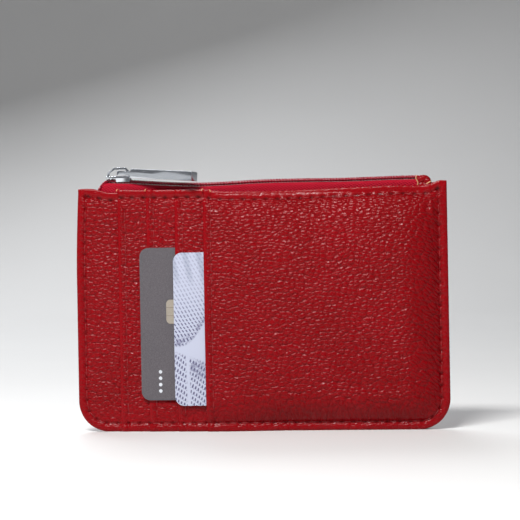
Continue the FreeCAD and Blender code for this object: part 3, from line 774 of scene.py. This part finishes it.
def base_panel():
    left = grid_lines(-HALF, FOLDS[0] + 4.0, 0.3, 0.55)[:-5]
    hidden = np.linspace(FOLDS[0] + 4.0, HALF - 0.6, 40)[1:]
    xs = np.concatenate([left, hidden, HALF - np.array([0.35, 0.12, 0.0])])
    panel = leather_sheet(
        "base_leather", xs, height_lines(), in_place(BASE_SAG, True, True), base_face, LEATHER, BASE_SAG,
    )
    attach(panel, "wallet")
    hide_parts("front_base_panel")


def slot_panel(number):
    fold = FOLDS[number - 1]
    xs = grid_lines(fold, fold + 15.0, 0.3, 0.5)
    panel = leather_sheet(
        f"slot_leather_{number}", xs, height_lines(), in_place(FRONT_SAG), strip_face(number), STRIP + 0.1,
        FRONT_SAG, fold,
    )
    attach(panel, "wallet")
    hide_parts(f"slot_panel_{number}")


def wide_front_panel():
    xs = grid_lines(FOLDS[3], HALF, 0.28, 0.55, wide=0.7)
    panel = leather_sheet(
        "front_leather", xs, height_lines(), in_place(FRONT_SAG, False, True), front_face, LEATHER,
        FRONT_SAG, FOLDS[3],
    )
    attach(panel, "wallet")
    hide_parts("front_panel")


def back_leather():
    xs = grid_lines(-HALF, HALF, 0.32, 0.55, wide=0.9)
    panel = leather_sheet(
        "back_leather", xs, height_lines(0.42), in_place(BACK_SAG, True, True), back_face, 1.1, BACK_SAG,
        turned=True,
    )
    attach(panel, "wallet")
    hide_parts("back_panel")


base_panel()
for slot_number in (1, 2, 3):
    slot_panel(slot_number)
wide_front_panel()
back_leather()


# ------------------------------------------------------------------------------------------
# Stitches
# ------------------------------------------------------------------------------------------
def stitch_tube(start, end, depth_at, rise=0.02, sink=0.4, radius=0.2):
    """One stitch between two holes, its ends drawn into the leather."""
    share = np.linspace(0, 1, 9)
    sink_in = sink * (np.abs(2 * share - 1) ** 3)
    x = start[0] + (end[0] - start[0]) * share
    z = start[1] + (end[1] - start[1]) * share
    facing = 1.0 if depth_at is not back_depth else -1.0
    y = np.array([depth_at(a, b) for a, b in zip(x, z)]) - facing * (rise - sink_in)
    thin = radius * (1 - 0.35 * np.abs(2 * share - 1) ** 4)
    return tube_arrays(np.stack([x, y, z], -1), thin, 6)


def back_depth(x, z):
    return float(back_face(x, z))


def seam_object(name, node, tubes):
    points, faces = join_arrays(tubes)
    thing = make_object(name, points, faces, THREAD_LOOK)
    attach(thing, "wallet")
    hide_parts(node)


def perimeter_point(run):
    """(x, z) on the perimeter seam at a signed length from the middle of the bottom."""
    side = 1.0 if run >= 0 else -1.0
    length = abs(run)
    radius = CORNER - SEAM
    quarter = radius * math.pi / 2
    if length < HALF - CORNER:
        return side * length, SEAM
    if length < HALF - CORNER + quarter:
        turn = (length - (HALF - CORNER)) / radius
        return side * (HALF - CORNER + radius * math.sin(turn)), CORNER - radius * math.cos(turn)
    z = CORNER + length - (HALF - CORNER) - quarter
    x = side * (HALF - SEAM)
    return (x + float(left_inset(z)) if side < 0 else x), z


def stitched_seams():
    hole = 0.45
    around = []
    longest = HALF - CORNER + (CORNER - SEAM) * math.pi / 2 + (HEIGHT - 4.5 - CORNER)
    count = int(longest // PITCH)
    for k in range(-count, count):
        start = perimeter_point(k * PITCH + hole)
        end = perimeter_point((k + 1) * PITCH - hole)
        if any(start[0] - 0.3 < fold < end[0] + 0.3 for fold in FOLDS):
            continue
        around.append(stitch_tube(start, end, front_surface))
    seam_object("perimeter_thread", "perimeter_stitching", around)

    def mouth_line(sag, low, high, depth_at):
        tubes = []
        first = math.ceil((low + 1.3) / PITCH)
        last = math.floor((high + 1.3) / PITCH)
        for k in range(first, last):
            x0, x1 = k * PITCH - 1.3 + hole, (k + 1) * PITCH - 1.3 - hole
            if depth_at is front_surface and any(x0 - 0.3 < fold < x1 + 0.3 for fold in FOLDS):
                continue
            z0, z1 = (HEIGHT - float(curve_through(sag(v), v)) - SEAM for v in (x0, x1))
            tubes.append(stitch_tube((x0, z0), (x1, z1), depth_at))
        return tubes

    def front_sag_at(x):
        return BASE_SAG if x < FOLDS[0] else FRONT_SAG

    front_line = mouth_line(front_sag_at, -61, 61, front_surface)
    seam_object("mouth_thread_front", "mouth_stitching_front", front_line)
    back_line = mouth_line(lambda x: BACK_SAG, -61, 61, back_depth)
    seam_object("mouth_thread_back", "mouth_stitching_back", back_line)

    for number in (1, 2, 3, 4):
        line = FOLDS[number - 1] + FOLD_SEAM
        shift = FOLDS[number - 1] % PITCH
        tubes = []
        for k in range(1, 22):
            z0, z1 = k * PITCH - shift + hole, (k + 1) * PITCH - shift - hole
            if z0 < 4.5 or z1 > HEIGHT - 5.2:
                continue
            tubes.append(stitch_tube((line, z0), (line, z1), front_surface, 0.02, 0.4, 0.2))
        seam_object(f"slot_thread_{number}", f"slot_stitching_{number}", tubes)


stitched_seams()


# ------------------------------------------------------------------------------------------
# Linings
# ------------------------------------------------------------------------------------------
def lining_sheet(name, node, low, high, face, thickness=0.2):
    xs = np.linspace(low[0], high[0], 60)
    zs = np.linspace(low[2], high[2], 40)
    gx, gz = np.meshgrid(xs, zs, indexing="ij")
    x, z = to_round_corners(gx, gz, True, True) if high[0] - low[0] > 100 else (gx, gz)
    near = face(x, z)
    points, faces = sheet_arrays(x, z, near, near + thickness)
    thing = make_object(name, points, faces, LINING_LOOK)
    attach(thing, "wallet")
    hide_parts(node)


def linings():
    for number in (1, 2, 3, 4):
        low, high = reach(f"slot_lining_{number}")
        name, node = f"slot_cloth_{number}", f"slot_lining_{number}"
        lining_sheet(name, node, low, high, lambda x, z, y=low[1]: y + 0 * x)
    low, high = reach("pocket_lining_front")
    lining_sheet("pocket_cloth_front", "pocket_lining_front", low, high, lambda x, z: low[1] + 0 * x)
    back_low, back_high = reach("pocket_lining_back")

    def back_cloth(x, z):
        outer = back_face(x, z) - 1.1 - 0.45
        return np.maximum(outer, back_low[1])

    lining_sheet("pocket_cloth_back", "pocket_lining_back", back_low, back_high, back_cloth)


linings()


# ------------------------------------------------------------------------------------------
# Zip
# ------------------------------------------------------------------------------------------
def coil_top(x):
    """Height of the coils' ridge."""
    return COIL_TOP - ZIP_FALL * (x - SLIDER_LOW[0]) - curve_through(ZIP_SAG, x)


def zip_centre(side, run):
    """A coil's centre at a length from the zip's left end; side is -1 at the front, 1 behind.

    The first stretch curls down between the panels on its own side, left of the slider's nose.
    """
    nose = SLIDER_LOW[0] + 0.6
    curl = np.clip(1 - run / 7.5, 0, 1)
    x = np.where(curl > 0, nose + 0.1 - 3.6 * np.sin(curl * math.pi / 2) ** 1.2, nose + 0.1 + (run - 7.5))
    drop = 5.6 * (1 - np.cos(curl * math.pi / 2)) + 0.5 * curl
    z = coil_top(np.maximum(x, SLIDER_LOW[0])) - COIL_TALL / 2 - drop
    y = MOUTH_CENTRE + side * (0.52 + 2.15 * smooth(curl * 1.25))
    return x, y, z


def zip_coil(side, name, node):
    """A wound nylon coil: one flattened turn for each tooth."""
    nose = SLIDER_LOW[0] + 0.7
    length = 7.5 + (TAB_LOW[0] + 0.6 - nose)
    turns = int(length / COIL_PITCH)
    steps = 12
    t = np.arange(turns * steps + 1) / steps
    run = t * COIL_PITCH
    x, y, z = zip_centre(side, run)
    phase = 2 * math.pi * t + (math.pi if side > 0 else 0.0)
    path = np.stack([x, y + 0.60 * np.cos(phase), z + 0.50 * np.sin(phase)], -1)
    turns_points, turns_faces = tube_arrays(path, 0.235, 7)
    core_run = np.arange(0.0, length, 0.5)
    core = np.stack(zip_centre(side, core_run), -1)
    core_points, core_faces = tube_arrays(core, 0.42, 10)
    points, faces = join_arrays([(turns_points, turns_faces), (core_points, core_faces)])
    thing = make_object(name, points, faces, COIL_LOOK)
    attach(thing, "wallet")
    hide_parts(node)


def zip_tape(side, name, node):
    """A twill tape: up from the seam, over a soft shoulder and in under its coil."""
    nose = SLIDER_LOW[0]
    left = nose - 2.9
    xs = np.concatenate([np.linspace(left, nose, 12)[:-1], np.linspace(nose, TAB_LOW[0] + 0.5, 190)])
    shares = np.concatenate([np.linspace(0, 0.62, 10)[:-1], np.linspace(0.62, 1.0, 12)])
    outer = (TAPE_LOW[1] if side < 0 else BACK_TAPE_HIGH[1]) - side * 0.22
    foot = HEIGHT - 6.5
    points = np.zeros((len(xs), len(shares), 3))
    for i, x in enumerate(xs):
        curl = float(np.clip((nose - x) / 2.9, 0, 1))
        crown = float(coil_top(max(x, nose))) - COIL_TALL - 0.02 - 5.2 * (1 - math.sqrt(max(1 - curl**2, 0)))
        inner = MOUTH_CENTRE + side * (0.30 + 1.5 * smooth(curl * 1.2))
        shoulder = 1.15
        wave = 0.07 * math.sin(x * 0.55) + 0.05 * math.sin(x * 1.3 + 1)
        for j, share in enumerate(shares):
            if share <= 0.62:
                rise = share / 0.62
                z = foot + (crown - shoulder - foot) * rise
                y = outer + side * (0.22 + wave) * math.sin(math.pi * rise) ** 2 * -0.2
            else:
                turn = (share - 0.62) / 0.38 * math.pi / 2
                z = crown - shoulder + shoulder * math.sin(turn) ** 0.9
                y = outer + (inner - outer) * (1 - math.cos(turn)) ** 1.1
            points[i, j] = (x, y, z)
    across = np.gradient(points, axis=0)
    up = np.gradient(points, axis=1)
    normal = np.cross(across, up)
    normal /= np.linalg.norm(normal, axis=2)[..., None] + 1e-9
    thick = 0.34
    outward = -1 if normal[50, 2, 1] * side < 0 else 1
    under = points - normal * thick * outward
    all_points, faces = two_sided(points, under)
    thing = make_object(name, all_points, faces, TAPE_LOOK)
    tidy_normals(thing)
    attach(thing, "wallet")
    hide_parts(node)


def tidy_normals(thing):
    """Turns every face outwards."""
    work = bmesh.new()
    work.from_mesh(thing.data)
    bmesh.ops.recalc_face_normals(work, faces=work.faces)
    work.to_mesh(thing.data)
    work.free()


def end_tab():
    """A strip of leather folded over the zip's right end, with a round outer corner."""
    left, right = TAB_LOW[0], TAB_HIGH[0]
    front, back = TAB_LOW[1] - 0.1, TAB_HIGH[1]
    crown = TAB_HIGH[2] + 0.1
    xs = grid_lines(left, right, 0.28, 0.4)
    steps = np.linspace(0, 1, 46)
    bend = 1.3
    points = []
    plain = []
    for x in xs:
        edge = min(x - left, right - x)
        swell = math.sqrt(max(1 - (1 - min(edge / 0.45, 1)) ** 2, 0))
        from_right = right - x
        corner = 2.7
        drop = corner - math.sqrt(max(corner**2 - max(corner - from_right, 0) ** 2, 0))
        top = crown - drop
        column = []
        for s in steps:
            leg = top - bend - (HEIGHT - 4.0)
            arc = bend * math.pi / 2
            flat = max(back - front - 2 * bend, 0.1)
            total = 2 * leg + 2 * arc + flat
            run = s * total
            if run < leg:
                y, z, ny, nz = front, HEIGHT - 4.0 + run, -1.0, 0.0
            elif run < leg + arc:
                a = (run - leg) / bend
                y, z = front + bend - bend * math.cos(a), top - bend + bend * math.sin(a)
                ny, nz = -math.cos(a), math.sin(a)
            elif run < leg + arc + flat:
                y, z, ny, nz = front + bend + run - leg - arc, top, 0.0, 1.0
            elif run < leg + 2 * arc + flat:
                a = (run - leg - arc - flat) / bend
                y, z = back - bend + bend * math.sin(a), top - bend + bend * math.cos(a)
                ny, nz = math.sin(a), math.cos(a)
            else:
                y, z, ny, nz = back, top - bend - (run - leg - 2 * arc - flat), 1.0, 0.0
            dent = 0.18 * math.exp(-(((x - left - 0.9) / 0.35) ** 2))
            push = -0.42 * (1 - swell) - dent
            column.append((x, y + ny * push, z + nz * push))
        points.append(column)
        plain.append([0.35 + 0.4 * (1 - min(edge / 0.8, 1))] * len(steps))
    outer = np.array(points)
    shift = np.gradient(outer, axis=1)
    inward = np.stack([np.zeros_like(shift[..., 0]), shift[..., 2], -shift[..., 1]], -1)
    inward /= np.linalg.norm(inward, axis=2)[..., None] + 1e-9
    share = np.array([math.sqrt(max(1 - (1 - min(min(x - left, right - x) / 0.45, 1)) ** 2, 0)) for x in xs])
    inner = outer + inward * (0.12 + 0.6 * share)[:, None, None]
    all_points, faces = two_sided(outer, inner)
    values = np.concatenate([np.array(plain).ravel()] * 2)
    thing = make_object("end_tab_leather", all_points, faces, LEATHER_LOOK, smooth=values, pit=0 * values)
    tidy_normals(thing)
    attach(thing, "wallet")
    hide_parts("zip_end_tab")


zip_tape(-1, "front_tape", "zip_tape_front")
zip_tape(1, "back_tape", "zip_tape_back")
zip_coil(-1, "front_coil", "zip_coil_front")
zip_coil(1, "back_coil", "zip_coil_back")
end_tab()


def loose_ends():
    """Undyed thread tails where the slots' folds meet the mouth, and along the tab's left edge."""
    tubes = []
    places = [(FOLDS[0] - 0.2, 0.5), (FOLDS[1] - 0.2, 0.3), (FOLDS[3] - 0.5, 0.4), (FOLDS[3] + 2.6, -0.4)]
    for x, lean in places:
        z = HEIGHT - float(curve_through(FRONT_SAG, max(x, FOLDS[0]))) - 0.55
        y = front_surface(x + 0.6, z - 1.5) + 0.15
        t = np.linspace(0, 1, 7)
        path = np.stack([x + lean * t, y + 0.25 * t, z + 1.0 * t + 0.15 * np.sin(t * 5)], -1)
        tubes.append(tube_arrays(path, 0.2 * (1 - 0.5 * t), 5))
    x, z = 59.0, HEIGHT - 1.1
    t = np.linspace(0, 1, 8)
    y = front_surface(60.5, z - 1) - 0.1
    tubes.append(tube_arrays(np.stack([x + 1.5 * t, y + 0 * t, z + 0.9 * t], -1), 0.22, 5))
    points, faces = join_arrays(tubes)
    thing = make_object("thread_tails", points, faces, TAN_LOOK)
    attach(thing, "wallet")
    tab_line = TAB_LOW[0] + 0.5
    t = np.linspace(0, 1, 16)
    wander = tab_line - 0.3 + 0.35 * np.sin(t * 6)
    rise = HEIGHT - 1.6 + (TAB_HIGH[2] - HEIGHT + 1.5) * t
    path = np.stack([wander, TAB_LOW[1] - 0.12 + 0 * t, rise], -1)
    tab_points, tab_faces = tube_arrays(path, 0.2, 6)
    tab_thread = make_object("tab_thread", tab_points, tab_faces, TAN_LOOK)
    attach(tab_thread, "wallet")
    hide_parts("zip_tab_stitching")


loose_ends()


# ------------------------------------------------------------------------------------------
# Slider and puller: the CAD shapes with softened edges
# ------------------------------------------------------------------------------------------
def softened(node, name, body, width, segments=3):
    """A copy of a CAD node's mesh with its triangles merged and its edges rounded."""
    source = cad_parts[node]
    mesh = source.data.copy()
    mesh.name = name
    work = bmesh.new()
    work.from_mesh(mesh)
    bmesh.ops.remove_doubles(work, verts=work.verts, dist=1e-6)
    bmesh.ops.dissolve_limit(
        work, angle_limit=math.radians(1.0), verts=work.verts, edges=work.edges, delimit=set()
    )
    work.to_mesh(mesh)
    work.free()
    mesh.materials.clear()
    mesh.materials.append(CHROME_LOOK)
    thing = bpy.data.objects.new(name, mesh)
    thing.matrix_world = source.matrix_world.copy()
    bpy.context.collection.objects.link(thing)
    bevel = thing.modifiers.new("round_edges", "BEVEL")
    bevel.width = width * MM
    bevel.segments = segments
    bevel.limit_method = "ANGLE"
    bevel.angle_limit = math.radians(28)
    bevel.harden_normals = True
    mesh.shade_smooth()
    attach(thing, body)
    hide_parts(node)
    return thing


softened("zip_slider", "slider_casting", "slider", 0.12)
softened("zip_puller", "puller_bar", "puller", 0.09)


# ------------------------------------------------------------------------------------------
# Cards: CAD shapes with printed looks
# ------------------------------------------------------------------------------------------
def dress_node(node, material):
    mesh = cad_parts[node].data
    mesh.materials.clear()
    mesh.materials.append(material)


dress_node("chip_card", GREY_LOOK)
dress_node("card_tactile_dots", CHROME_LOOK)
dress_node("card_chip", chip_material(*reach("card_chip")))
dress_node("patterned_card", patterned_card_material(CARD_LOW))


# ------------------------------------------------------------------------------------------
# Stage, light and camera
# ------------------------------------------------------------------------------------------
def stage_material():
    n = Nodes("pale_floor")
    tone = n.noise(n.position(3.0), 2.0, 2.0)
    n.set(Base_Color=n.mix(tone, (0.66, 0.655, 0.645, 1), (0.70, 0.695, 0.685, 1)), Roughness=0.6)
    return n.material


def floor_and_backdrop():
    """A pale floor that sweeps up far behind the wallet."""
    depth = [-3.0, -1.0, -0.3, 0.0, 0.3, 0.9]
    profile = [(y, 0.0) for y in depth]
    radius = 0.9
    for k in range(1, 13):
        angle = k / 12 * math.pi / 2
        profile.append((0.9 + radius * math.sin(angle), radius - radius * math.cos(angle)))
    profile.append((0.9 + radius, 3.0))
    points = []
    for x in (-4.0, 4.0):
        points += [(x / MM, y / MM, z / MM) for y, z in profile]
    count = len(profile)
    faces = [[k, count + k, count + k + 1, k + 1] for k in range(count - 1)]
    floor = make_object("floor", points, faces, stage_material())


def area_light(name, place, aim, wide, tall, power, colour=(1, 1, 1)):
    light = bpy.data.lights.new(name, "AREA")
    light.shape = "RECTANGLE"
    light.size = wide
    light.size_y = tall
    light.energy = power
    light.color = colour
    lamp = bpy.data.objects.new(name, light)
    lamp.location = place
    lamp.rotation_euler = (Vector(aim) - Vector(place)).to_track_quat("-Z", "Y").to_euler()
    bpy.context.collection.objects.link(lamp)


def studio():
    world = bpy.data.worlds.new("studio")
    world.use_nodes = True
    world.node_tree.nodes["Background"].inputs["Color"].default_value = (0.93, 0.95, 1.0, 1)
    world.node_tree.nodes["Background"].inputs["Strength"].default_value = 0.16
    bpy.context.scene.world = world
    target = (0.0, 0.0, 0.045)
    area_light("top_window", (-0.17, -0.56, 0.70), target, 0.34, 0.18, 11.0)
    area_light("back_fill", (-0.5, 1.0, 0.9), target, 1.0, 0.8, 12.0, (0.95, 0.97, 1.0))
    area_light("side_card", (-0.82, -1.13, 0.15), target, 0.6, 0.5, 0.46)
    bpy.context.scene.view_settings.view_transform = "Standard"


def camera():
    """A long lens level with the upper half of the wallet, a little to its right, rolled one degree."""
    data = bpy.data.cameras.new("camera")
    data.sensor_width = 36.0
    data.lens = 117.44
    data.clip_start = 0.02
    data.clip_end = 50.0
    eye = bpy.data.objects.new("camera", data)
    azimuth = math.radians(6.0)
    aim = Vector((-0.0001, 0.0, 0.0602))
    eye.location = aim + Vector((math.sin(azimuth), -math.cos(azimuth), 0.0)) * 0.600
    level = (aim - eye.location).to_track_quat("-Z", "Y")
    eye.rotation_euler = (level @ Quaternion((0, 0, 1), math.radians(-1.05))).to_euler()
    bpy.context.collection.objects.link(eye)
    bpy.context.scene.camera = eye


floor_and_backdrop()
studio()
camera()
